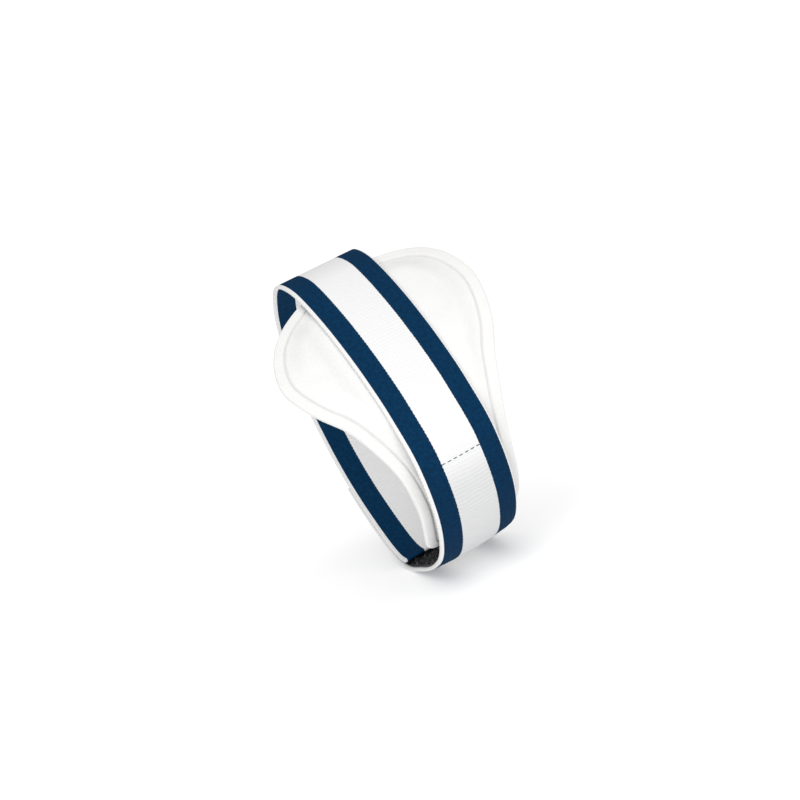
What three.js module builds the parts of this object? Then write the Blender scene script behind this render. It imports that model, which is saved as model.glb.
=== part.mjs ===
// Tennis elbow strap, closed as it is worn.
// One elastic band runs once round the strap's hollow, and its free end laps over its own first end, where
// the hook patch sewn inside it grips. A two-lobed foam pad lies under the band.
// Millimetres. X runs along the hollow, -Y is the pad's side, Z is up, and the origin is on the hollow's
// axis, midway across the band.
// A place on the strap is given by its run (the way round the hollow's surface from the lowest point, by the
// back, the top and the front), its x, and its height above that surface.
import * as THREE from "three";

// The hollow
const hollowReach = 50;
const hollowTaper = 0.0005; // share of its reach that it loses for each millimetre along +X
const hollowRows = [
  { turn: 0, reach: 0.987 }, // lowest point
  { turn: 20, reach: 1.1 },
  { turn: 40, reach: 1.04 },
  { turn: 60, reach: 1.0 },
  { turn: 80, reach: 0.976 },
  { turn: 100, reach: 0.992 }, // back
  { turn: 120, reach: 1.024 },
  { turn: 140, reach: 1.048 },
  { turn: 160, reach: 1.06 },
  { turn: 180, reach: 0.876 }, // top
  { turn: 200, reach: 0.768 },
  { turn: 220, reach: 0.726 },
  { turn: 240, reach: 0.742 },
  { turn: 260, reach: 0.812 }, // front
  { turn: 280, reach: 0.898 },
  { turn: 300, reach: 0.948 },
  { turn: 320, reach: 0.95 },
  { turn: 340, reach: 0.94 },
];

// The band
const bandWidth = 30;
const bandThickness = 1.2;
const bandCorner = 0.35; // slant along its edges
const bandPlace = 0.049; // where its first end lies, as a share of the way round
const bandLap = 38; // length of the free end that lies over the first end
const bandCrown = 1.2; // how far its middle stands above its edges where it crosses the pad
const bandRise = 16; // length in which it climbs to a layer under it

// The hook patch, sewn inside the band's free end
const hookThickness = 1.2;
const hookLength = 117;
const hookMargin = 1; // edge of the band that it leaves bare at each side
const hookSetback = 2; // from the band's free end to the patch

// The pad
const padWidth = 77.6;
const padLength = 114;
const padPlace = 0.5285; // where its broad end lies, as a share of the way round
const padShift = 0.4; // how far its middle lies from the band's, along +X
const padLean = 0.2; // run by which its broad end leans forward for each millimetre along +X
const padThickness = 4.2;
const padPressed = 3.1; // its thickness under the band's edges
const padPressReach = 8; // distance beside the band over which it comes back to its thickness
const padRim = 1.9; // thickness of its flat border
const padBorder = 4.2; // width of its flat border, out to the pressed groove
const padGroove = 0.7; // depth of the groove
const padOutline = [
  { along: 0, half: 0 },
  { along: 0, half: 0.28 },
  { along: 0.018, half: 0.46 },
  { along: 0.054, half: 0.67 },
  { along: 0.098, half: 0.82 },
  { along: 0.154, half: 0.925 },
  { along: 0.216, half: 0.985 },
  { along: 0.275, half: 1 },
  { along: 0.344, half: 0.955 },
  { along: 0.418, half: 0.865 },
  { along: 0.491, half: 0.735 },
  { along: 0.57, half: 0.635 },
  { along: 0.668, half: 0.535 },
  { along: 0.78, half: 0.487 },
  { along: 0.9, half: 0.475 },
  { along: 0.965, half: 0.45 },
  { along: 0.993, half: 0.38 },
  { along: 1, half: 0.25 },
  { along: 1, half: 0 },
];

const gap = 0.3; // between pieces that touch

// Fineness of the facets
const bandStep = 3.6;
const bandColumns = 6;
const padOutlinePoints = 96;

const ease = THREE.MathUtils.smoothstep;
const blend = THREE.MathUtils.lerp;

// The hollow's section at x = 0, a smooth closed curve that starts at its lowest point.
const hollow = new THREE.CatmullRomCurve3(
  hollowRows.map(({ turn, reach }) => {
    const angle = THREE.MathUtils.degToRad(turn);
    return new THREE.Vector3(0, Math.sin(angle), -Math.cos(angle)).multiplyScalar(reach * hollowReach);
  }),
  true,
);
hollow.arcLengthDivisions = 720;
const girth = hollow.getLength();

// The point at a run, an x and a height above the hollow's surface.
function place(run, x, height) {
  const share = THREE.MathUtils.euclideanModulo(run / girth, 1);
  const point = hollow.getPointAt(share);
  const ahead = hollow.getTangentAt(share);
  point.y += ahead.z * height;
  point.z -= ahead.y * height;
  point.multiplyScalar(1 - hollowTaper * x);
  point.x = x;
  return point;
}

// Runs at which the layers start and end
const padStart = padPlace * girth;
const padEnd = padStart + padLength;
const bandStart = bandPlace * girth;
const lapStart = bandStart + girth;
const bandEnd = lapStart + bandLap;
const hookEnd = bandEnd - hookSetback;
const hookStart = hookEnd - hookLength;

// How far, from 0 to 1, the band is lifted at a run by the pad, the hook patch and its own first end.
const overPad = (run) =>
  ease(run, padStart - bandRise, padStart + padBorder) * (1 - ease(run, padEnd, lapStart));
const overHook = (run) => ease(run, hookStart - bandRise, hookStart);
const overLap = (run) => ease(run, padEnd, lapStart);

// How far the band's middle stands above its edges, at an x.
function crown(x) {
  const across = Math.min(1, Math.abs(2 * x) / bandWidth);
  return bandCrown * (1 - across * across);
}

// Height of the band's inner face.
function bandHeight(run, x) {
  return (
    overPad(run) * (padPressed + gap + crown(x)) +
    overHook(run) * (hookThickness + gap) +
    overLap(run) * (bandThickness + gap)
  );
}

// Height of the pad's outer face, at an x and a distance from its outline.
function padHeight(x, inside) {
  const beside = Math.abs(x) - bandWidth / 2;
  const free = blend(padPressed + crown(x), padThickness, ease(beside, padPressReach / 4, padPressReach));
  return blend(padRim, free, ease(inside, padBorder, 2.2 * padBorder));
}

// A flat geometry, with x across, y for height and z for run, laid round the hollow. Its own height is
// counted from a base height for each place.
function laidRound(flat, baseHeight) {
  const position = flat.getAttribute("position");
  for (let i = 0; i < position.count; i++) {
    const x = position.getX(i);
    const run = position.getZ(i);
    const point = place(run, x, position.getY(i) + baseHeight(run, x));
    position.setXYZ(i, point.x, point.y, point.z);
  }
  flat.computeVertexNormals();
  return flat;
}

// A flat strip from one run to another, with slanted edges, and columns of facets that let it take the crown.
function strip(width, thickness, corner, start, end) {
  const inner = width / 2 - corner;
  const columns = Array.from({ length: bandColumns + 1 }, (_, i) => blend(-inner, inner, i / bandColumns));
  const section = new THREE.Shape([
    ...columns.map((x) => new THREE.Vector2(x, 0)),
    new THREE.Vector2(width / 2, corner),
    new THREE.Vector2(width / 2, thickness - corner),
    ...columns.toReversed().map((x) => new THREE.Vector2(x, thickness)),
    new THREE.Vector2(-width / 2, thickness - corner),
    new THREE.Vector2(-width / 2, corner),
  ]);
  const steps = Math.round((end - start) / bandStep);
  const flat = new THREE.ExtrudeGeometry(section, { depth: end - start, steps, bevelEnabled: false });
  return flat.translate(0, 0, start);
}

function band() {
  return laidRound(strip(bandWidth, bandThickness, bandCorner, bandStart, bandEnd), bandHeight);
}

function hookPatch() {
  const flat = strip(bandWidth - 2 * hookMargin, hookThickness, hookThickness / 4, hookStart, hookEnd);
  return laidRound(flat, (run, x) => bandHeight(run, x) - gap - hookThickness);
}

// The pad's outline laid flat, closed, from the middle of its broad end: x across, y along.
function padEdge() {
  const halfWidth = padWidth / 2;
  const side = padOutline.map(({ along, half }) => new THREE.Vector3(half * halfWidth, along * padLength, 0));
  const otherSide = side.slice(1, -1).map((point) => new THREE.Vector3(-point.x, point.y, 0));
  const curve = new THREE.CatmullRomCurve3([...side, ...otherSide.reverse()], true);
  return curve.getSpacedPoints(padOutlinePoints).slice(0, -1);
}

// The pad: rings that follow its outline, from the middle of its underside round its edge to the middle of
// its outer face, and in each middle a ladder of facets between its two sides.
function pad() {
  const edge = padEdge();
  const count = edge.length;
  const shoulder = 1.2 * padBorder; // distance from the outline to the outer side of the groove
  const spineStart = 0.26 * padLength;
  const spineEnd = padLength - padWidth / 5;
  const inward = edge.map((_, i) => {
    const along = edge[(i + 1) % count].clone().sub(edge[(i + count - 1) % count]).normalize();
    return new THREE.Vector3(-along.y, along.x, 0);
  });
  const inset = (i, distance) => edge[i].clone().addScaledVector(inward[i], distance);
  const towardsSpine = (i, share) => {
    const spine = new THREE.Vector3(0, THREE.MathUtils.clamp(edge[i].y, spineStart, spineEnd), 0);
    return inset(i, shoulder).lerp(spine, share);
  };

  const border = [
    { distance: 0.5, height: 0 },
    { distance: 0, height: padRim / 2 },
    { distance: 0.5, height: padRim },
    { distance: 0.85 * padBorder, height: padRim },
    { distance: padBorder, height: padRim - padGroove },
    { distance: shoulder, height: padRim },
  ];
  const shares = [0.12, 0.28, 0.48, 0.7, 0.88];
  const underside = shares.toReversed().map((share) => edge.map((_, i) => [towardsSpine(i, share), 0]));
  const rim = border.map(({ distance, height }) => edge.map((_, i) => [inset(i, distance), height]));
  const outside = shares.map((share) =>
    edge.map((_, i) => {
      const point = towardsSpine(i, share);
      return [point, padHeight(point.x + padShift, point.distanceTo(edge[i]))];
    }),
  );
  const rings = [...underside, ...rim, ...outside];

  const vertices = rings.flat().flatMap(([{ x, y }, height]) => {
    const lean = padLean * (1 - ease(y, 0, 0.55 * padLength));
    return [x + padShift, height, padStart + y - lean * x];
  });
  const triangles = [];
  for (let first = 0; first < (rings.length - 1) * count; first += count) {
    for (let i = 0; i < count; i++) {
      const next = (i + 1) % count;
      triangles.push(first + i, first + count + next, first + next);
      triangles.push(first + i, first + count + i, first + count + next);
    }
  }
  const last = (rings.length - 1) * count;
  for (let i = 0; i < count / 2; i++) {
    const corners = [i, i + 1, count - i - 1, (count - i) % count];
    for (const [a, b, c] of [corners.slice(0, 3), [corners[0], corners[2], corners[3]]]) {
      if (new Set([a, b, c]).size === 3) {
        triangles.push(a, b, c, last + a, last + c, last + b);
      }
    }
  }
  const flat = new THREE.BufferGeometry();
  flat.setAttribute("position", new THREE.Float32BufferAttribute(vertices, 3));
  flat.setIndex(triangles);
  return laidRound(flat, () => 0);
}

function piece(name, geometry, color, roughness) {
  const mesh = new THREE.Mesh(geometry, new THREE.MeshStandardMaterial({ color, roughness, metalness: 0 }));
  mesh.name = name;
  return mesh;
}

const strap = new THREE.Group();
strap.add(piece("band", band(), 0x17365c, 0.8));
strap.add(piece("hook_patch", hookPatch(), 0x1c1d20, 0.9));
strap.add(piece("pad", pad(), 0xf2f1ee, 0.85));

export default strap;
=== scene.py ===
"""Tennis elbow strap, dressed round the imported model.

A striped elastic band runs once round the strap's hollow, over a two-lobed foam pad, and closes on
itself with a hook patch. Sizes are in millimetres and become metres where the meshes are made.
A place on the strap is given by its run (the way round the hollow from the lowest point, by the back,
the top and the front), its x, and its height above the hollow's surface.
"""

import math

import bmesh
import bpy
import numpy as np
from mathutils import Matrix, Vector


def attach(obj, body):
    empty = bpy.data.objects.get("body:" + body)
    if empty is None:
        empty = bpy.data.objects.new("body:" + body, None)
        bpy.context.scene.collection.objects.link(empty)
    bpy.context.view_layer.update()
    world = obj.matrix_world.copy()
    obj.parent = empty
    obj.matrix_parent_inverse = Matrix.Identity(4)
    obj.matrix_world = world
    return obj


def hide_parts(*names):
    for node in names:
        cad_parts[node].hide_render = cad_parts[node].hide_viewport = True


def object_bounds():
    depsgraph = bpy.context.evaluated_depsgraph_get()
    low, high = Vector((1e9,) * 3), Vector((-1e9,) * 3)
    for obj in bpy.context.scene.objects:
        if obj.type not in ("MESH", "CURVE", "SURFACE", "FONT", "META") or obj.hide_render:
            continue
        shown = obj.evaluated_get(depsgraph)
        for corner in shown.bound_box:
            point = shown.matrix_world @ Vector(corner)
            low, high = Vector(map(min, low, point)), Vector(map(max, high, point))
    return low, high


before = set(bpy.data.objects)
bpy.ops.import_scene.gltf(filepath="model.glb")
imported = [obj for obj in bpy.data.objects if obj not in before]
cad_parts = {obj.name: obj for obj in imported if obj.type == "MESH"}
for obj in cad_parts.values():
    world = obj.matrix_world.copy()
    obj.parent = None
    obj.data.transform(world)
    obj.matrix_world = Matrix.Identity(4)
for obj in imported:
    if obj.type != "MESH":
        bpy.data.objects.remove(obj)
cad_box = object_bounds()

MM = 0.001

# The hollow: its reach at each turn, as a share of HOLLOW_REACH
HOLLOW_REACH = 50.0
HOLLOW_TAPER = 0.0005
HOLLOW_ROWS = [
    (0, 0.987),
    (20, 1.1),
    (40, 1.04),
    (60, 1.0),
    (80, 0.976),
    (100, 0.992),
    (120, 1.024),
    (140, 1.048),
    (160, 1.06),
    (180, 0.876),
    (200, 0.768),
    (220, 0.726),
    (240, 0.742),
    (260, 0.812),
    (280, 0.898),
    (300, 0.948),
    (320, 0.95),
    (340, 0.94),
]

# The band
BAND_WIDTH = 30.0
BAND_THICKNESS = 1.2
BAND_EDGE = 0.5
BAND_COLUMNS = 15
BAND_ROWS_PER_RIB = 6
BAND_PLACE = 0.049
BAND_LAP = 38.0
BAND_CROWN = 1.2
BAND_RISE = 16.0
BAND_GAP = 0.3
STRIPE_INNER = 7.25
STRIPE_OUTER = 14.15
STRIPE_SHIFT = 0.3
STRIPE_BLUR = 0.08
RIB_PITCH = 1.15
RIB_HEIGHT = 0.03
RIB_WANDER = 1.6
RIB_WANDER_SCALE = 0.12
RIB_SIZES = {"Rib pitch": RIB_PITCH, "Rib height": RIB_HEIGHT, "Wander": RIB_WANDER}
WALE_WIDTH = 0.62
YARN_CROSSING = 0.35
YARN_GRAIN_SCALE = 2.2
NAVY_GRAIN_SCALE = 0.9
CROSSING_RAGGED = 0.05
GRAIN_RAGGED = 0.3
SELVEDGE_RAGGED = 0.3
# Painted shade in the rib grooves, which also sets the ribs' bump, stronger over the hook patch at the
# strap's foot
RIB_SHADE_AND_RELIEF = 0.1
FOOT_RIB_SHADE_AND_RELIEF = 0.4
WEBBING_RELIEF = 0.018
# Painted shade over the hook patch at the strap's foot: where it starts, how grey it is, and how soft
# its edges by the selvedges are
PATCH_FOOT_ONSET = 12.0
FOOT_SHADE = 0.17
FOOT_SHADE_BLUR = 0.1

# The hook patch
PATCH_LENGTH = 117.0
PATCH_SETBACK = 2.0
PATCH_MARGIN = 1.0
PATCH_THICKNESS = 1.2
TAPE_THICKNESS = 0.5
TAPE_SEAT = 0.05
TAPE_EDGE = 0.2
TAPE_COLUMNS = 13
TAPE_STEP = 0.8
TAPE_SPECKLE = 1.1
TAPE_RELIEF = 0.05
HOOK_PITCH = 1.3
HOOK_LENGTH = 0.95
HOOK_WIRE = 0.11
HOOK_STAGGER = 0.25
HOOK_ROOT = 0.1
HOOK_BEND = 2.0
HOOK_TIP_AHEAD = 0.75
HOOK_TIP_HEIGHT = 0.25
HOOK_LEAN = 0.35
HOOK_SIZES = {"Hook length": HOOK_LENGTH, "Wire": HOOK_WIRE}

# The stitching
STITCH_PITCH = 2.2
STITCH_LENGTH = 1.5
STITCH_WIDTH = 0.3
STITCH_SIZES = {"Pitch": STITCH_PITCH, "Length": STITCH_LENGTH, "Width": STITCH_WIDTH}
STITCH_INSET = 2.1
STITCH_LIFT = 0.03
STITCH_PATH_STEP = 0.5
THREAD_TWIST = 0.25
THREAD_RELIEF = 0.04

# The pad
PAD_WIDTH = 77.6
PAD_LENGTH = 114.0
PAD_PLACE = 0.5285
PAD_SHIFT = 0.4
PAD_LEAN = 0.2
PAD_THICKNESS = 4.2
PAD_PRESSED = 3.1
PAD_PRESS_REACH = 8.0
PAD_RIM = 1.9
PAD_BORDER = 4.2
PAD_GROOVE = 0.5
PAD_GROOVE_WIDTH = 0.75
PAD_RISE = 8.5
PAD_SHOULDER = 1.2 * PAD_BORDER
PAD_LEAN_REACH = 0.55 * PAD_LENGTH
PAD_SPINE_START = 0.26 * PAD_LENGTH
PAD_SPINE_END = PAD_LENGTH - PAD_WIDTH / 5
PAD_POINTS = 560
PAD_RINGS = 40
PAD_LAST_RING = 0.985
PAD_RIM_ANGLES = [-75, -50, -25, 0, 25, 50, 75]
PAD_RIM_ROUND = 0.7
PAD_BORDER_INSETS = [0.9, 1.5, 2.2]
PAD_GROOVE_START = 2.8
PAD_GROOVE_STEP = 0.2
PAD_NAP = 0.4
PAD_NAP_SHARE = 0.4
PAD_CLOUD = 9
PAD_RELIEF = 0.12
PAD_OUTLINE = [
    (0, 0),
    (0, 0.28),
    (0.018, 0.46),
    (0.054, 0.67),
    (0.098, 0.82),
    (0.154, 0.925),
    (0.216, 0.985),
    (0.275, 1),
    (0.344, 0.955),
    (0.418, 0.865),
    (0.491, 0.735),
    (0.57, 0.635),
    (0.668, 0.535),
    (0.78, 0.487),
    (0.9, 0.475),
    (0.965, 0.45),
    (0.993, 0.38),
    (1, 0.25),
    (1, 0),
]

# Colours, each as red, green and blue, or as a pair that a pattern blends
WHITE_YARN = ((0.765, 0.766, 0.768), (0.825, 0.824, 0.82))
NAVY_YARN = ((0.001, 0.022, 0.062), (0.002, 0.032, 0.086))
# The colour of the painted shade over the hook patch at the strap's foot
FOOT_SHADE_COLOUR = (0.001, 0.012, 0.035)
PAD_CLOTH = ((0.79, 0.786, 0.777), (0.825, 0.823, 0.817))
# The colour of the painted shade along the pad's groove
GROOVE_SHADE_CLOTH = (0.68, 0.677, 0.67)
# Black tape, and the grey of its painted glints
TAPE_AND_GLINT = ((0.002, 0.002, 0.003), (0.2, 0.205, 0.21))
THREAD = ((0.004, 0.02, 0.05), (0.01, 0.04, 0.085))

# The studio
FLOOR_REACH = 6000
FLOOR_DROP = 0.5
FLOOR_WHITE = 0.9
FLOOR_GLOW = 0.28
ROOM_LIGHT = 0.42
KEY_TOWARDS = (-0.2, -1.05, 1.15)
KEY_STRENGTH = 2.25
KEY_SPREAD = 85

# The camera: degrees round the hollow, towards -X and of roll, and where the middle of its view lies
CAMERA_FRONT = 255
CAMERA_SWING = 14.5
CAMERA_ROLL = 28.2
CAMERA_DISTANCE = 1200
CAMERA_LENS = 162
AIM_RIGHT = 2.03
AIM_UP = 2.8


# The strap's own coordinates


def ease(value, start, end):
    share = np.clip((np.asarray(value, float) - start) / (end - start), 0, 1)
    return share * share * (3 - 2 * share)


def blend(start, end, share):
    return start + (end - start) * share


def closed_spline(points, steps):
    """Points on the closed centripetal spline through these points, steps of them to a stretch."""
    share = np.linspace(0, 1, steps, endpoint=False)[:, None]
    stretches = []
    for i in range(len(points)):
        before, start, end, after = (points[(i + k) % len(points)] for k in (-1, 0, 1, 2))
        spans = (start - before, end - start, after - end)
        a, b, c = (math.sqrt(np.linalg.norm(span)) for span in spans)
        leave = ((start - before) / a - (end - before) / (a + b) + (end - start) / b) * b
        arrive = ((end - start) / b - (after - start) / (b + c) + (after - end) / c) * b
        square = 3 * (end - start) - 2 * leave - arrive
        cube = 2 * (start - end) + leave + arrive
        stretches.append(start + leave * share + square * share**2 + cube * share**3)
    return np.concatenate(stretches)


def way_along(points):
    """The way along a closed ring of points, from 0 at the first point to the ring's whole length."""
    steps = np.linalg.norm(np.roll(points, -1, 0) - points, axis=1)
    return np.concatenate([[0], np.cumsum(steps)])


turns = np.radians([turn for turn, reach in HOLLOW_ROWS])
reaches = HOLLOW_REACH * np.array([reach for turn, reach in HOLLOW_ROWS])
hollow = closed_spline(np.stack([np.sin(turns), -np.cos(turns)], 1) * reaches[:, None], 200)
hollow_runs = way_along(hollow)
GIRTH = hollow_runs[-1]
hollow_ahead = np.roll(hollow, -1, 0) - np.roll(hollow, 1, 0)
hollow_ahead /= np.linalg.norm(hollow_ahead, axis=1)[:, None]


def around(table, run):
    """What the table, a row for each point of the hollow, holds at these runs."""
    columns = [np.interp(run, hollow_runs, np.append(column, column[0])) for column in table.T]
    return np.stack(columns, -1)


def place(run, x, height):
    """The points, in metres, at these runs, xs and heights."""
    run, x, height = np.broadcast_arrays(run, x, height)
    at = around(hollow, np.mod(run, GIRTH))
    ahead = around(hollow_ahead, np.mod(run, GIRTH))
    taper = 1 - HOLLOW_TAPER * x
    y = (at[..., 0] + ahead[..., 1] * height) * taper
    z = (at[..., 1] - ahead[..., 0] * height) * taper
    return np.stack([x, y, z], -1) * MM


PAD_START = PAD_PLACE * GIRTH
PAD_END = PAD_START + PAD_LENGTH
BAND_START = BAND_PLACE * GIRTH
LAP_START = BAND_START + GIRTH
BAND_END = LAP_START + BAND_LAP
PATCH_END = BAND_END - PATCH_SETBACK
PATCH_START = PATCH_END - PATCH_LENGTH


def crown(x):
    across = np.minimum(1, np.abs(2 * x) / BAND_WIDTH)
    return BAND_CROWN * (1 - across * across)


def band_height(run, x):
    """Height of the band's inner face."""
    over_lap = ease(run, PAD_END, LAP_START)
    over_pad = ease(run, PAD_START - BAND_RISE, PAD_START + PAD_BORDER) * (1 - over_lap)
    over_patch = ease(run, PATCH_START - BAND_RISE, PATCH_START)
    return (
        over_pad * (PAD_PRESSED + BAND_GAP + crown(x))
        + over_patch * (PATCH_THICKNESS + BAND_GAP)
        + over_lap * (BAND_THICKNESS + BAND_GAP)
    )


# Meshes


def new_piece(name, points, faces, laid=None):
    """A smooth piece of those faces. laid is each point's x, run and height, kept for its materials."""
    mesh = bpy.data.meshes.new(name)
    mesh.from_pydata(points.reshape(-1, 3).tolist(), [], faces)
    if laid is not None:
        attribute = mesh.attributes.new("laid", "FLOAT_VECTOR", "POINT")
        attribute.data.foreach_set("vector", np.ascontiguousarray(laid, np.float32).ravel())
    shell = bmesh.new()
    shell.from_mesh(mesh)
    bmesh.ops.recalc_face_normals(shell, faces=shell.faces)
    shell.to_mesh(mesh)
    shell.free()
    mesh.shade_smooth()
    piece = bpy.data.objects.new(name, mesh)
    bpy.context.scene.collection.objects.link(piece)
    return piece


def strip_faces(rows, around_section):
    """Faces of a strip: rows of points round its section, and an end face at each end."""
    faces = []
    for row in range(rows - 1):
        for i in range(around_section):
            a = row * around_section + i
            b = row * around_section + (i + 1) % around_section
            faces.append((a, b, b + around_section, a + around_section))
    last = (rows - 1) * around_section
    faces.append(tuple(range(around_section)))
    faces.append(tuple(range(last, last + around_section)))
    return faces


def strip_section(width, thickness, edge, columns):
    """The section of a flat strip with rounded edges, as x and height in turn."""
    inner = width / 2 - edge
    flat = np.linspace(-inner, inner, columns)
    corner = np.radians([22.5, 45, 67.5, 90])
    rise = min(edge, thickness / 2)
    low_x = inner + edge * np.sin(corner)
    low_height = rise * (1 - np.cos(corner))
    xs = [flat, low_x, low_x[::-1], flat[::-1], -low_x, -low_x[::-1]]
    top = thickness - low_height[::-1]
    heights = [0 * flat, low_height, top, 0 * flat + thickness, thickness - low_height, low_height[::-1]]
    return np.concatenate(xs), np.concatenate(heights)


def strip_piece(name, width, thickness, edge, columns, start, end, step, base_height):
    """A strip laid round the hollow on a base height for each run and x."""
    section_x, section_height = strip_section(width, thickness, edge, columns)
    runs = np.linspace(start, end, round((end - start) / step) + 1)[:, None]
    x = np.broadcast_to(section_x, (len(runs), len(section_x)))
    run = np.broadcast_to(runs, x.shape)
    height = section_height + base_height(run, x)
    laid = np.stack([x, run, np.broadcast_to(section_height, x.shape)], -1)
    return new_piece(name, place(run, x, height), strip_faces(*x.shape), laid)


# Nodes


def new_node(tree, kind, values=(), **settings):
    """A new node. values are its inputs by name or number, each a value or another node's output."""
    made = tree.nodes.new(kind)
    for name, value in settings.items():
        setattr(made, name, value)
    for key, value in dict(values).items():
        if isinstance(value, bpy.types.NodeSocket):
            tree.links.new(value, made.inputs[key])
        else:
            made.inputs[key].default_value = value
    return made


def calc(tree, operation, *values):
    return new_node(tree, "ShaderNodeMath", enumerate(values), operation=operation).outputs[0]


def plus(tree, first, second):
    return calc(tree, "ADD", first, second)


def times(tree, first, second):
    return calc(tree, "MULTIPLY", first, second)


def wave(tree, turns_made):
    """A sine wave, a period to each turn."""
    return calc(tree, "SINE", times(tree, turns_made, 2 * math.pi))


def step_up(tree, value, start, end):
    made = new_node(
        tree,
        "ShaderNodeMapRange",
        {"Value": value, "From Min": start, "From Max": end},
        interpolation_type="SMOOTHSTEP",
    )
    return made.outputs["Result"]


def noise(tree, vector, scale, detail=2.0):
    values = {"Vector": vector, "Scale": scale, "Detail": detail}
    return new_node(tree, "ShaderNodeTexNoise", values).outputs["Fac"]


def colour_mix(tree, share, first, second):
    """Blends two colours, each a red, green and blue or another node's output."""
    made = new_node(tree, "ShaderNodeMix", data_type="RGBA")
    tree.links.new(share, made.inputs["Factor"])
    for socket, colour in ((made.inputs[6], first), (made.inputs[7], second)):
        if isinstance(colour, bpy.types.NodeSocket):
            tree.links.new(colour, socket)
        else:
            socket.default_value = (*colour, 1)
    return made.outputs[2]


def attribute_named(tree, name):
    """A point attribute of type vector, read in a geometry tree."""
    kind = "GeometryNodeInputNamedAttribute"
    return new_node(tree, kind, {"Name": name}, data_type="FLOAT_VECTOR").outputs[0]


def new_material(name, roughness, specular, sheen=0.0):
    material = bpy.data.materials.new(name)
    material.use_nodes = True
    shader = material.node_tree.nodes["Principled BSDF"]
    shader.inputs["Roughness"].default_value = roughness
    shader.inputs["Sheen Weight"].default_value = sheen
    shader.inputs["Specular IOR Level"].default_value = specular
    return material, material.node_tree, shader


def laid_coordinates(tree):
    """The attribute laid as a vector, and its x and run."""
    laid = new_node(tree, "ShaderNodeAttribute", attribute_name="laid").outputs["Vector"]
    parts = new_node(tree, "ShaderNodeSeparateXYZ", {0: laid}).outputs
    return laid, parts[0], parts[1]


def object_coordinates(tree):
    return new_node(tree, "ShaderNodeTexCoord").outputs["Object"]


def bump(tree, shader, height, depth):
    made = new_node(tree, "ShaderNodeBump", {"Height": height, "Distance": depth * MM, "Strength": 1.0})
    tree.links.new(made.outputs[0], shader.inputs["Normal"])


def rib_count(tree, laid, run, pitch, wander):
    """How many ribs lie before a run. They wander a little from their places."""
    strayed = times(tree, noise(tree, laid, RIB_WANDER_SCALE), wander)
    return plus(tree, calc(tree, "DIVIDE", run, pitch), strayed)


def webbing_material():
    """Ribbed elastic webbing: a white middle between two navy stripes, and white selvedges.

    Its rib grooves carry painted shade. Over the hook patch, at the strap's foot, painted shade makes
    the grooves darker still and the webbing a little greyer.
    """
    material, tree, shader = new_material("striped_webbing", 0.9, 0.08)
    laid, across, run = laid_coordinates(tree)
    picks = rib_count(tree, laid, run, RIB_PITCH, RIB_WANDER)
    rib = wave(tree, picks)
    wales = calc(tree, "DIVIDE", across, WALE_WIDTH)
    wale = calc(tree, "ABSOLUTE", calc(tree, "SINE", times(tree, wales, math.pi)))
    every_other = times(tree, calc(tree, "FLOOR", wales), 0.5)
    crossing = wave(tree, plus(tree, picks, every_other))
    crossed = calc(tree, "MULTIPLY_ADD", crossing, YARN_CROSSING, 1 - YARN_CROSSING)
    yarn = times(tree, wale, crossed)
    grain = noise(tree, laid, YARN_GRAIN_SCALE, 3.0)

    frayed = calc(tree, "MULTIPLY_ADD", grain, GRAIN_RAGGED, -GRAIN_RAGGED / 2)
    ragged = calc(tree, "MULTIPLY_ADD", crossing, CROSSING_RAGGED, frayed)
    beside = calc(tree, "ABSOLUTE", calc(tree, "SUBTRACT", across, STRIPE_SHIFT))
    inner_edge = plus(tree, beside, ragged)
    outer_edge = calc(tree, "MULTIPLY_ADD", ragged, SELVEDGE_RAGGED, beside)
    stripe = calc(
        tree,
        "SUBTRACT",
        step_up(tree, inner_edge, STRIPE_INNER - STRIPE_BLUR, STRIPE_INNER + STRIPE_BLUR),
        step_up(tree, outer_edge, STRIPE_OUTER - STRIPE_BLUR, STRIPE_OUTER + STRIPE_BLUR),
    )

    # Painted shade at the strap's foot: the run over the hook patch
    foot_over_patch = step_up(tree, run, PATCH_START, PATCH_START + PATCH_FOOT_ONSET)
    # Painted shade: the rib grooves are darker, and darker still over the hook patch at the strap's
    # foot; the same wave also sets the bump
    ribbed = times(tree, rib, calc(tree, "MULTIPLY_ADD", foot_over_patch, FOOT_RIB_SHADE_AND_RELIEF, RIB_SHADE_AND_RELIEF))
    tone = calc(tree, "MULTIPLY_ADD", plus(tree, yarn, grain), 0.5, ribbed)
    white = colour_mix(tree, step_up(tree, tone, 0.1, 0.9), *WHITE_YARN)
    navy_grain = noise(tree, laid, NAVY_GRAIN_SCALE, 4.0)
    navy = colour_mix(tree, step_up(tree, navy_grain, 0.3, 0.7), *NAVY_YARN)
    woven = colour_mix(tree, stripe, white, navy)
    # Painted shade: greys the webbing over the hook patch, inside the selvedges
    over_tape = step_up(tree, beside, STRIPE_OUTER + FOOT_SHADE_BLUR, STRIPE_OUTER - FOOT_SHADE_BLUR)
    shaded = times(tree, times(tree, foot_over_patch, over_tape), FOOT_SHADE)
    tree.links.new(colour_mix(tree, shaded, woven, FOOT_SHADE_COLOUR), shader.inputs["Base Color"])
    relief = plus(tree, yarn, calc(tree, "MULTIPLY_ADD", grain, 0.3, ribbed))
    bump(tree, shader, relief, WEBBING_RELIEF)
    return material


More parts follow.
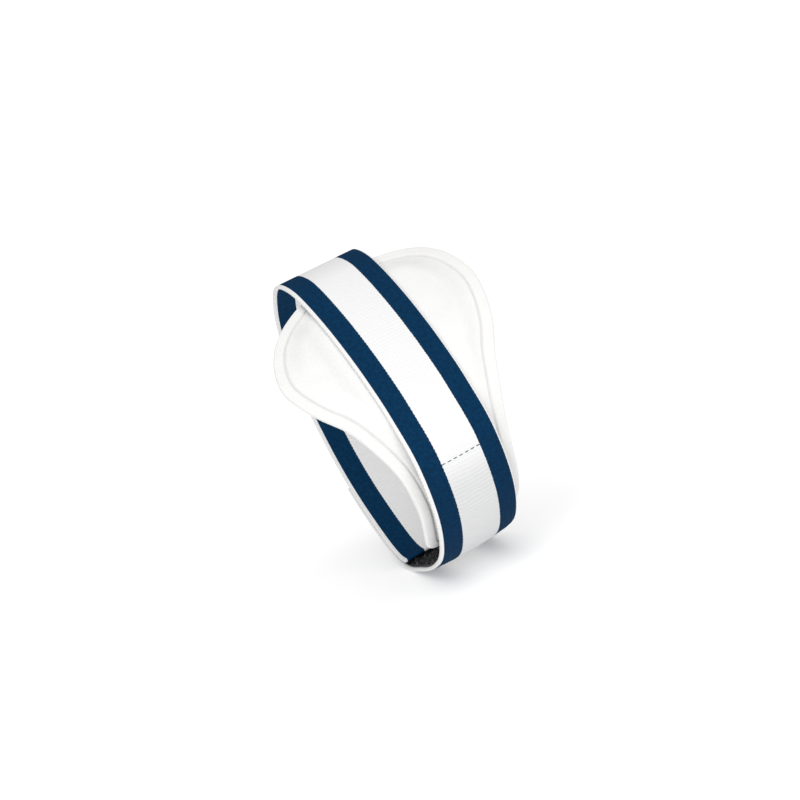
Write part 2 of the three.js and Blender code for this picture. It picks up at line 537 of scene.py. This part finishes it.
def pad_material():
    """White brushed cloth laminated on foam, with painted shade along the groove where it is pressed
    down.
    """
    material, tree, shader = new_material("brushed_pad_cloth", 0.85, 0.2, sheen=0.3)
    here = object_coordinates(tree)
    nap = noise(tree, here, 1 / (PAD_NAP * MM), 4.0)
    cloud = noise(tree, here, 1 / (PAD_CLOUD * MM))
    tone = plus(tree, times(tree, nap, PAD_NAP_SHARE), times(tree, cloud, 1 - PAD_NAP_SHARE))
    cloth = colour_mix(tree, step_up(tree, tone, 0.3, 0.7), *PAD_CLOTH)
    # Painted shade along the groove, as strong as the groove is pressed down
    groove_shade = new_node(tree, "ShaderNodeAttribute", attribute_name="groove_shade").outputs["Fac"]
    tree.links.new(colour_mix(tree, groove_shade, cloth, GROOVE_SHADE_CLOTH), shader.inputs["Base Color"])
    bump(tree, shader, nap, PAD_RELIEF)
    return material


def tape_material():
    """Black hook tape, a little shiny, with painted glints: grey speckles lighten it where light would
    catch the hooks.
    """
    material, tree, shader = new_material("black_hook_tape", 0.45, 0.25)
    # Painted glints: grey speckles on the black, which also bump the tape
    glint_speckle = noise(tree, object_coordinates(tree), 1 / (TAPE_SPECKLE * MM), 3.0)
    colour = colour_mix(tree, step_up(tree, glint_speckle, 0.52, 0.7), *TAPE_AND_GLINT)
    tree.links.new(colour, shader.inputs["Base Color"])
    bump(tree, shader, glint_speckle, TAPE_RELIEF)
    return material


def thread_material():
    """Dark sewing thread with its twist."""
    material, tree, shader = new_material("dark_thread", 0.8, 0.1)
    twist = noise(tree, object_coordinates(tree), 1 / (THREAD_TWIST * MM))
    tree.links.new(colour_mix(tree, twist, *THREAD), shader.inputs["Base Color"])
    bump(tree, shader, twist, THREAD_RELIEF)
    return material


# Geometry Nodes


def new_tree(name, sizes, material):
    """A geometry tree with these named sizes and this named material as inputs."""
    tree = bpy.data.node_groups.new(name, "GeometryNodeTree")
    tree.interface.new_socket("Geometry", in_out="INPUT", socket_type="NodeSocketGeometry")
    tree.interface.new_socket("Geometry", in_out="OUTPUT", socket_type="NodeSocketGeometry")
    for size, value in sizes.items():
        socket = tree.interface.new_socket(size, in_out="INPUT", socket_type="NodeSocketFloat")
        socket.default_value = value
    tree.interface.new_socket(material, in_out="INPUT", socket_type="NodeSocketMaterial")
    return tree, tree.nodes.new("NodeGroupInput").outputs


def finish_tree(tree, geometry, material):
    realized = new_node(tree, "GeometryNodeRealizeInstances", {"Geometry": geometry})
    smooth = new_node(tree, "GeometryNodeSetShadeSmooth", {"Geometry": realized.outputs[0]})
    painting = {"Geometry": smooth.outputs[0], "Material": material}
    painted = new_node(tree, "GeometryNodeSetMaterial", painting)
    leave = tree.nodes.new("NodeGroupOutput")
    tree.links.new(painted.outputs[0], leave.inputs[0])
    return tree


def grow(piece, tree, values):
    """Runs a tree on a piece with these inputs, and keeps the result as the piece's plain mesh."""
    modifier = piece.modifiers.new(tree.name, "NODES")
    modifier.node_group = tree
    for item in tree.interface.items_tree:
        if item.in_out == "INPUT" and item.name in values:
            modifier[item.identifier] = values[item.name]
    evaluated = piece.evaluated_get(bpy.context.evaluated_depsgraph_get())
    mesh = bpy.data.meshes.new_from_object(evaluated)
    piece.modifiers.remove(modifier)
    piece.data = mesh
    return piece


def rib_tree():
    """Raises ribs across a strip."""
    tree, given = new_tree("webbing_ribs", RIB_SIZES, "Webbing")
    laid = attribute_named(tree, "laid")
    run = new_node(tree, "ShaderNodeSeparateXYZ", {0: laid}).outputs[1]
    rib = wave(tree, rib_count(tree, laid, run, given["Rib pitch"], given["Wander"]))
    rise = times(tree, times(tree, rib, given["Rib height"]), MM)
    normal = tree.nodes.new("GeometryNodeInputNormal").outputs[0]
    offset = new_node(tree, "ShaderNodeVectorMath", {0: normal, "Scale": rise}, operation="SCALE")
    moving = {"Geometry": given["Geometry"], "Offset": offset.outputs[0]}
    moved = new_node(tree, "GeometryNodeSetPosition", moving)
    return finish_tree(tree, moved.outputs[0], given["Webbing"])


def aligned(tree, first_axis, first, second_axis, second):
    """A rotation that lays the first axis along one vector, and turns the second towards another."""
    turn = new_node(tree, "FunctionNodeAlignRotationToVector", {"Vector": first}, axis=first_axis)
    return new_node(
        tree,
        "FunctionNodeAlignRotationToVector",
        {"Rotation": turn.outputs[0], "Vector": second},
        axis=second_axis,
        pivot_axis=first_axis,
    ).outputs[0]


def hook_tree():
    """Sets a bent hook on each point, standing along the attribute inward and bent along ahead."""
    tree, given = new_tree("hook_field", HOOK_SIZES, "Tape")
    tall = times(tree, given["Hook length"], MM)
    top = new_node(tree, "ShaderNodeCombineXYZ", {"Z": times(tree, tall, HOOK_BEND)})
    tip_place = {"X": times(tree, tall, HOOK_TIP_AHEAD), "Z": times(tree, tall, HOOK_TIP_HEIGHT)}
    tip = new_node(tree, "ShaderNodeCombineXYZ", tip_place)
    bend = new_node(
        tree,
        "GeometryNodeCurveQuadraticBezier",
        {"Resolution": 5, "Start": (0, 0, 0), "Middle": top.outputs[0], "End": tip.outputs[0]},
    )
    wire = new_node(tree, "GeometryNodeCurvePrimitiveCircle", {"Resolution": 4})
    tree.links.new(times(tree, given["Wire"], MM), wire.inputs["Radius"])
    hook = new_node(
        tree,
        "GeometryNodeCurveToMesh",
        {"Curve": bend.outputs[0], "Profile Curve": wire.outputs[0], "Fill Caps": True},
    )
    inward = attribute_named(tree, "inward")
    ahead = attribute_named(tree, "ahead")
    lean = new_node(
        tree,
        "FunctionNodeRandomValue",
        {0: (-HOOK_LEAN,) * 3, 1: (HOOK_LEAN,) * 3, "Seed": 7},
        data_type="FLOAT_VECTOR",
    )
    bent = new_node(tree, "ShaderNodeVectorMath", {0: ahead, 1: lean.outputs[0]}, operation="ADD")
    points = new_node(tree, "GeometryNodeMeshToPoints", {"Mesh": given["Geometry"]})
    setting = {
        "Points": points.outputs[0],
        "Instance": hook.outputs[0],
        "Rotation": aligned(tree, "Z", inward, "X", bent.outputs[0]),
    }
    set_in = new_node(tree, "GeometryNodeInstanceOnPoints", setting)
    return finish_tree(tree, set_in.outputs[0], given["Tape"])


def stitch_tree():
    """Lays stitches end to end along a line."""
    tree, given = new_tree("stitch_row", STITCH_SIZES, "Thread")
    line = new_node(tree, "GeometryNodeMeshToCurve", {"Mesh": given["Geometry"]})
    spacing = {"Curve": line.outputs[0], "Length": times(tree, given["Pitch"], MM)}
    spaced = new_node(tree, "GeometryNodeResampleCurve", spacing, mode="LENGTH")
    bead = new_node(tree, "GeometryNodeMeshUVSphere", {"Segments": 8, "Rings": 6, "Radius": 0.5 * MM})
    stretch = {"X": given["Width"], "Y": given["Width"], "Z": given["Length"]}
    shape = new_node(tree, "ShaderNodeCombineXYZ", stretch)
    tangent = tree.nodes.new("GeometryNodeInputTangent").outputs[0]
    turn = new_node(tree, "FunctionNodeAlignRotationToVector", {"Vector": tangent}, axis="Z")
    laying = {
        "Points": spaced.outputs[0],
        "Instance": bead.outputs[0],
        "Rotation": turn.outputs[0],
        "Scale": shape.outputs[0],
    }
    laid = new_node(tree, "GeometryNodeInstanceOnPoints", laying)
    return finish_tree(tree, laid.outputs[0], given["Thread"])


# The band


def make_band():
    band = strip_piece(
        "striped_band",
        BAND_WIDTH,
        BAND_THICKNESS,
        BAND_EDGE,
        BAND_COLUMNS,
        BAND_START,
        BAND_END,
        RIB_PITCH / BAND_ROWS_PER_RIB,
        band_height,
    )
    return grow(band, rib_tree(), {**RIB_SIZES, "Webbing": webbing_material()})


# The hook patch


def patch_height(run, x):
    """Height of the inner face of the patch's tape."""
    return band_height(run, x) - TAPE_SEAT - TAPE_THICKNESS


def make_patch(material):
    """The tape, and the hooks that stand on its inner face."""
    tape = strip_piece(
        "hook_tape",
        BAND_WIDTH - 2 * PATCH_MARGIN,
        TAPE_THICKNESS,
        TAPE_EDGE,
        TAPE_COLUMNS,
        PATCH_START,
        PATCH_END,
        TAPE_STEP,
        patch_height,
    )
    tape.data.materials.append(material)
    half = BAND_WIDTH / 2 - PATCH_MARGIN - HOOK_PITCH
    columns = round(2 * half / HOOK_PITCH) + 1
    rows = round((PATCH_LENGTH - 2 * HOOK_PITCH) / HOOK_PITCH) + 1
    x = np.linspace(-half, half, columns)[None, :]
    run = np.linspace(PATCH_START + HOOK_PITCH, PATCH_END - HOOK_PITCH, rows)[:, None]
    offset = np.where(np.arange(rows) % 2, HOOK_STAGGER, -HOOK_STAGGER)[:, None] * HOOK_PITCH
    x, run = np.broadcast_arrays(x + offset, run)
    root_height = patch_height(run, x) + HOOK_ROOT
    roots = place(run, x, root_height)
    inward = roots - place(run, x, root_height + 1)
    before, after = run - 0.5, run + 0.5
    ahead = place(after, x, patch_height(after, x)) - place(before, x, patch_height(before, x))
    hooks = new_piece("hooks", roots, [])
    for name, vectors in (("inward", inward), ("ahead", ahead)):
        unit = vectors / np.linalg.norm(vectors, axis=-1)[..., None]
        attribute = hooks.data.attributes.new(name, "FLOAT_VECTOR", "POINT")
        attribute.data.foreach_set("vector", unit.astype(np.float32).ravel())
    grow(hooks, hook_tree(), {**HOOK_SIZES, "Tape": material})
    return tape, hooks


# The stitching that holds the patch on the band


def make_stitching():
    half = BAND_WIDTH / 2 - STITCH_INSET
    first = PATCH_START + STITCH_INSET
    last = PATCH_END - STITCH_INSET
    corners = [(-half, first), (half, first), (half, last), (-half, last), (-half, first)]
    xs, runs = [], []
    for (x0, run0), (x1, run1) in zip(corners, corners[1:]):
        steps = round(max(abs(x1 - x0), abs(run1 - run0)) / STITCH_PATH_STEP)
        xs.append(np.linspace(x0, x1, steps, endpoint=False))
        runs.append(np.linspace(run0, run1, steps, endpoint=False))
    x, run = np.concatenate(xs), np.concatenate(runs)
    points = place(run, x, band_height(run, x) + BAND_THICKNESS + STITCH_LIFT)
    mesh = bpy.data.meshes.new("patch_stitching")
    mesh.from_pydata(points.tolist(), [(i, i + 1) for i in range(len(points) - 1)], [])
    stitching = bpy.data.objects.new("patch_stitching", mesh)
    bpy.context.scene.collection.objects.link(stitching)
    return grow(stitching, stitch_tree(), {**STITCH_SIZES, "Thread": thread_material()})


# The pad


def pad_edge(count):
    """The pad's outline laid flat, count points from the middle of its broad end, and the way inward."""
    side = np.array([(half * PAD_WIDTH / 2, along * PAD_LENGTH) for along, half in PAD_OUTLINE])
    other_side = side[1:-1][::-1] * (-1, 1)
    fine = closed_spline(np.concatenate([side, other_side]), 60)
    way = way_along(fine)
    marks = np.linspace(0, way[-1], count, endpoint=False)
    edge = np.stack([np.interp(marks, way, np.append(column, column[0])) for column in fine.T], 1)
    along = np.roll(edge, -1, 0) - np.roll(edge, 1, 0)
    along /= np.linalg.norm(along, axis=1)[:, None]
    return edge, np.stack([-along[:, 1], along[:, 0]], 1)


def pressed_line(inside):
    """How far the foam is pressed down, from 0 to 1, at a distance from the pad's outline."""
    return np.exp(-(((inside - PAD_BORDER) / (PAD_GROOVE_WIDTH / 2)) ** 2))


def pad_height(x, inside):
    """Height of the pad's outer face, at an x and a distance from its outline."""
    beside = np.abs(x) - BAND_WIDTH / 2
    sprung = ease(beside, PAD_PRESS_REACH / 4, PAD_PRESS_REACH)
    free = blend(PAD_PRESSED + crown(x), PAD_THICKNESS, sprung)
    risen = blend(PAD_RIM, free, ease(inside, PAD_BORDER, PAD_BORDER + PAD_RISE))
    return risen - PAD_GROOVE * pressed_line(inside)


def make_pad():
    """Rings from the middle of the pad's underside, round its rim, to the middle of its outer face."""
    edge, inward = pad_edge(PAD_POINTS)
    level = np.zeros(PAD_POINTS)
    spine = np.stack([level, np.clip(edge[:, 1], PAD_SPINE_START, PAD_SPINE_END)], 1)
    inner = edge + inward * PAD_SHOULDER
    span = np.linalg.norm(spine - inner, axis=1)
    shares = np.linspace(0, PAD_LAST_RING, PAD_RINGS)
    rings = [(blend(inner, spine, share), level, level) for share in shares[::-2]]
    lip = PAD_RIM / 2
    for angle in np.radians(PAD_RIM_ANGLES):
        inset = PAD_RIM_ROUND * lip * (1 - math.cos(angle))
        rings.append((edge + inward * inset, level + lip + lip * math.sin(angle), level))
    groove_insets = np.arange(PAD_GROOVE_START, PAD_SHOULDER - PAD_GROOVE_STEP / 4, PAD_GROOVE_STEP)
    # Each ring also carries the painted shade along the groove
    for inset in [*PAD_BORDER_INSETS, *groove_insets]:
        point = edge + inward * inset
        height = pad_height(point[:, 0] + PAD_SHIFT, inset)
        rings.append((point, height, level + pressed_line(inset)))
    for share in shares:
        inset = PAD_SHOULDER + share * span
        point = blend(inner, spine, share)
        height = pad_height(point[:, 0] + PAD_SHIFT, inset)
        rings.append((point, height, pressed_line(inset)))
    flat, height, groove_shade = (np.array(column) for column in zip(*rings))
    lean = PAD_LEAN * (1 - ease(flat[..., 1], 0, PAD_LEAN_REACH))
    x = flat[..., 0] + PAD_SHIFT
    run = PAD_START + flat[..., 1] - lean * flat[..., 0]
    faces = strip_faces(len(rings), PAD_POINTS)[:-2]
    last = (len(rings) - 1) * PAD_POINTS
    for i in range(PAD_POINTS // 2):
        across = [i, i + 1, PAD_POINTS - i - 1, (PAD_POINTS - i) % PAD_POINTS]
        corners = list(dict.fromkeys(across))
        if len(corners) > 2:
            faces.append(tuple(corners))
            faces.append(tuple(last + corner for corner in corners))
    pad = new_piece("foam_pad", place(run, x, height), faces)
    # The painted shade along the groove, read by the pad's material
    attribute = pad.data.attributes.new("groove_shade", "FLOAT", "POINT")
    attribute.data.foreach_set("value", groove_shade.astype(np.float32).ravel())
    pad.data.materials.append(pad_material())
    return pad


# Floor, light and camera


def broad_light(name, towards, strength, spread):
    """A light as even and soft as a wall of softboxes that looks spread degrees wide."""
    lamp = bpy.data.lights.new(name, "SUN")
    lamp.energy = strength
    lamp.angle = math.radians(spread)
    light = bpy.data.objects.new(name, lamp)
    light.rotation_euler = Vector(towards).to_track_quat("Z", "Y").to_euler()
    bpy.context.scene.collection.objects.link(light)


def make_floor():
    level = cad_box[0][2] - FLOOR_DROP * MM
    reach = FLOOR_REACH * MM
    corners = [(x * reach, y * reach, level) for x, y in ((-1, -1), (1, -1), (1, 1), (-1, 1))]
    mesh = bpy.data.meshes.new("floor")
    mesh.from_pydata(corners, [], [(0, 1, 2, 3)])
    floor = bpy.data.objects.new("floor", mesh)
    bpy.context.scene.collection.objects.link(floor)
    material, _, shader = new_material("pale_floor", 0.9, 0.5)
    shader.inputs["Base Color"].default_value = (FLOOR_WHITE, FLOOR_WHITE, FLOOR_WHITE, 1)
    shader.inputs["Emission Color"].default_value = (1, 1, 1, 1)
    shader.inputs["Emission Strength"].default_value = FLOOR_GLOW
    mesh.materials.append(material)


def make_light():
    world = bpy.data.worlds.new("studio")
    world.use_nodes = True
    background = world.node_tree.nodes["Background"]
    background.inputs["Color"].default_value = (1, 1, 1, 1)
    background.inputs["Strength"].default_value = ROOM_LIGHT
    bpy.context.scene.world = world
    broad_light("soft_key", KEY_TOWARDS, KEY_STRENGTH, KEY_SPREAD)
    bpy.context.scene.view_settings.view_transform = "Standard"


def make_camera():
    """The photograph's camera: a long lens in front of the pad, a little above it and rolled."""
    front, swing, roll = (math.radians(turn) for turn in (CAMERA_FRONT, CAMERA_SWING, CAMERA_ROLL))
    facing = Vector((0, math.sin(front), -math.cos(front)))
    above = Vector((0, -math.cos(front), -math.sin(front)))
    back = facing * math.cos(swing) - Vector((1, 0, 0)) * math.sin(swing)
    right = Vector((1, 0, 0)) * math.cos(swing) + facing * math.sin(swing)
    camera_right = right * math.cos(roll) - above * math.sin(roll)
    camera_up = right * math.sin(roll) + above * math.cos(roll)
    aim = camera_right * AIM_RIGHT * MM + camera_up * AIM_UP * MM
    data = bpy.data.cameras.new("camera")
    data.lens = CAMERA_LENS
    data.sensor_width = 36
    camera = bpy.data.objects.new("camera", data)
    turn = Matrix((camera_right, camera_up, back)).transposed().to_4x4()
    camera.matrix_world = Matrix.Translation(aim + back * CAMERA_DISTANCE * MM) @ turn
    bpy.context.scene.collection.objects.link(camera)
    bpy.context.scene.camera = camera


band = make_band()
tape, hooks = make_patch(tape_material())
stitching = make_stitching()
pad = make_pad()

for piece in (band, tape, hooks, stitching, pad):
    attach(piece, "root")
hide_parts("band")
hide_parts("hook_patch")
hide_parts("pad")

make_floor()
make_light()
make_camera()
